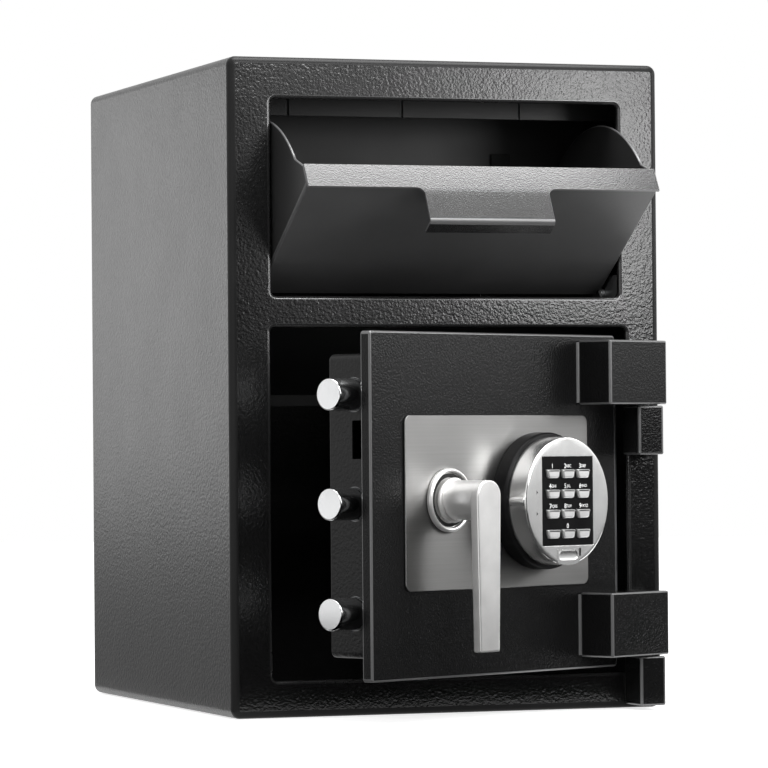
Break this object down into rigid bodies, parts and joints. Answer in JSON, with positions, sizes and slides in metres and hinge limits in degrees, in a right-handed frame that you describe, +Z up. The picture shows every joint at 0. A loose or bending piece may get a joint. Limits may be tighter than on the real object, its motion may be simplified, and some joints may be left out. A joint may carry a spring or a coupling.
{
  "type": "drop safe with deposit drawer",
  "caption": "Black steel drop safe with a tilting deposit drawer above a hinged vault door that carries a lever handle, a round keypad and sliding locking bolts.",
  "frame": {"origin": "centre of the flat underside of the cabinet", "axes": "+X right seen from the front, +Y from the door towards the back panel, +Z up"},
  "size_m": [0.3556, 0.5451, 0.508],
  "materials": {
    "textured_black": "hammered black powder coat",
    "satin_black": "smooth satin black coat",
    "brushed_stainless": "stainless plate brushed across",
    "satin_nickel": "satin nickel plate",
    "bright_zinc": "bright zinc plate",
    "plain_steel": "plain mill steel",
    "silver_housing": "silver finish on a moulded housing",
    "silver_key": "silver finish on moulded keys",
    "black_plastic": "fine matt black moulding",
    "black_rubber": "matt black rubber"
  },
  "bodies": {
    "cabinet": {"body_wrap": "textured_black", "front_frame": "textured_black", "back_panel": "textured_black", "chute_floor": "satin_black", "chute_baffle": "satin_black", "lintel_bar": "satin_black", "hopper_bracket_left": "plain_steel", "hopper_bracket_right": "plain_steel", "trough_stop_left": "black_rubber", "trough_stop_right": "black_rubber", "hinge_knuckle_upper": "textured_black", "hinge_knuckle_lower": "textured_black", "hinge_pin_upper": "plain_steel", "hinge_pin_lower": "plain_steel"},
    "deposit_drawer": {"hopper_panel": "satin_black", "hopper_cap": "satin_black", "hopper_side_left": "satin_black", "hopper_side_right": "satin_black", "trough_plate": "satin_black"},
    "door": {"door_plate": "textured_black", "boltwork_cover": "textured_black", "hinge_block_upper": "textured_black", "hinge_block_lower": "textured_black", "escutcheon_plate": "brushed_stainless", "handle_collar": "satin_nickel", "keypad_base": "black_plastic", "keypad_housing": "silver_housing", "keypad_panel": "black_plastic", "dead_bar": "plain_steel", "hard_plate": "plain_steel", "lock_case": "plain_steel", "keypad_cable": "black_rubber", "guide_post_upper": "plain_steel", "guide_post_lower": "plain_steel", "bolt_guide_lower": "plain_steel", "bolt_guide_middle": "plain_steel", "bolt_guide_upper": "plain_steel"},
    "handle": {"lever_handle": "satin_nickel", "spindle": "plain_steel", "crank": "plain_steel"},
    "boltwork": {"bolt_carriage": "plain_steel", "locking_bolt_lower": "bright_zinc", "locking_bolt_middle": "bright_zinc", "locking_bolt_upper": "bright_zinc"},
    "lock_bolt": {"lock_bolt": "bright_zinc"},
    "battery_drawer": {"battery_drawer": "silver_housing"},
    "key_1": {"key_1": "silver_key"},
    "key_2": {"key_2": "silver_key"},
    "key_3": {"key_3": "silver_key"},
    "key_4": {"key_4": "silver_key"},
    "key_5": {"key_5": "silver_key"},
    "key_6": {"key_6": "silver_key"},
    "key_7": {"key_7": "silver_key"},
    "key_8": {"key_8": "silver_key"},
    "key_9": {"key_9": "silver_key"},
    "key_left": {"key_left": "silver_key"},
    "key_0": {"key_0": "silver_key"},
    "key_right": {"key_right": "silver_key"}
  },
  "joints": [
    {"name": "door_hinge", "type": "hinge", "parent": "cabinet", "child": "door", "pos_m": [0.1565, -0.2146, 0.165], "axis": [0, 0, 1], "range_deg": [-20.5, 81.7]},
    {"name": "hopper_pivot", "type": "hinge", "parent": "cabinet", "child": "deposit_drawer", "pos_m": [0, -0.1601, 0.328], "axis": [1, 0, 0], "range_deg": [-58, 0]},
    {"name": "handle_turn", "type": "hinge", "parent": "door", "child": "handle", "pos_m": [-0.04115, -0.30229, 0.165], "axis": [-0.4741, 0.8805, 0], "range_deg": [0, 60]},
    {"name": "bolt_slide", "type": "slide", "parent": "door", "child": "boltwork", "axis": [0.8805, 0.4741, 0], "range_m": [0, 0.0201]},
    {"name": "lock_bolt_lift", "type": "slide", "parent": "door", "child": "lock_bolt", "axis": [0, 0, 1], "range_m": [0, 0.0101]},
    {"name": "battery_slide", "type": "slide", "parent": "door", "child": "battery_drawer", "axis": [0, 0, -1], "range_m": [0, 0.042]},
    {"name": "press_1", "type": "slide", "parent": "door", "child": "key_1", "axis": [-0.4741, 0.8805, 0], "range_m": [0, 0.001], "stiffness_N_per_m": 250},
    {"name": "press_2", "type": "slide", "parent": "door", "child": "key_2", "axis": [-0.4741, 0.8805, 0], "range_m": [0, 0.001], "stiffness_N_per_m": 250},
    {"name": "press_3", "type": "slide", "parent": "door", "child": "key_3", "axis": [-0.4741, 0.8805, 0], "range_m": [0, 0.001], "stiffness_N_per_m": 250},
    {"name": "press_4", "type": "slide", "parent": "door", "child": "key_4", "axis": [-0.4741, 0.8805, 0], "range_m": [0, 0.001], "stiffness_N_per_m": 250},
    {"name": "press_5", "type": "slide", "parent": "door", "child": "key_5", "axis": [-0.4741, 0.8805, 0], "range_m": [0, 0.001], "stiffness_N_per_m": 250},
    {"name": "press_6", "type": "slide", "parent": "door", "child": "key_6", "axis": [-0.4741, 0.8805, 0], "range_m": [0, 0.001], "stiffness_N_per_m": 250},
    {"name": "press_7", "type": "slide", "parent": "door", "child": "key_7", "axis": [-0.4741, 0.8805, 0], "range_m": [0, 0.001], "stiffness_N_per_m": 250},
    {"name": "press_8", "type": "slide", "parent": "door", "child": "key_8", "axis": [-0.4741, 0.8805, 0], "range_m": [0, 0.001], "stiffness_N_per_m": 250},
    {"name": "press_9", "type": "slide", "parent": "door", "child": "key_9", "axis": [-0.4741, 0.8805, 0], "range_m": [0, 0.001], "stiffness_N_per_m": 250},
    {"name": "press_left", "type": "slide", "parent": "door", "child": "key_left", "axis": [-0.4741, 0.8805, 0], "range_m": [0, 0.001], "stiffness_N_per_m": 250},
    {"name": "press_0", "type": "slide", "parent": "door", "child": "key_0", "axis": [-0.4741, 0.8805, 0], "range_m": [0, 0.001], "stiffness_N_per_m": 250},
    {"name": "press_right", "type": "slide", "parent": "door", "child": "key_right", "axis": [-0.4741, 0.8805, 0], "range_m": [0, 0.001], "stiffness_N_per_m": 250}
  ],
  "couplings": [
    {"joint": "bolt_slide", "follows": "handle_turn", "m_per_rad": 0.019099},
    {"joint": "lock_bolt_lift", "follows": "handle_turn", "m_per_rad": 0.0095493}
  ]
}
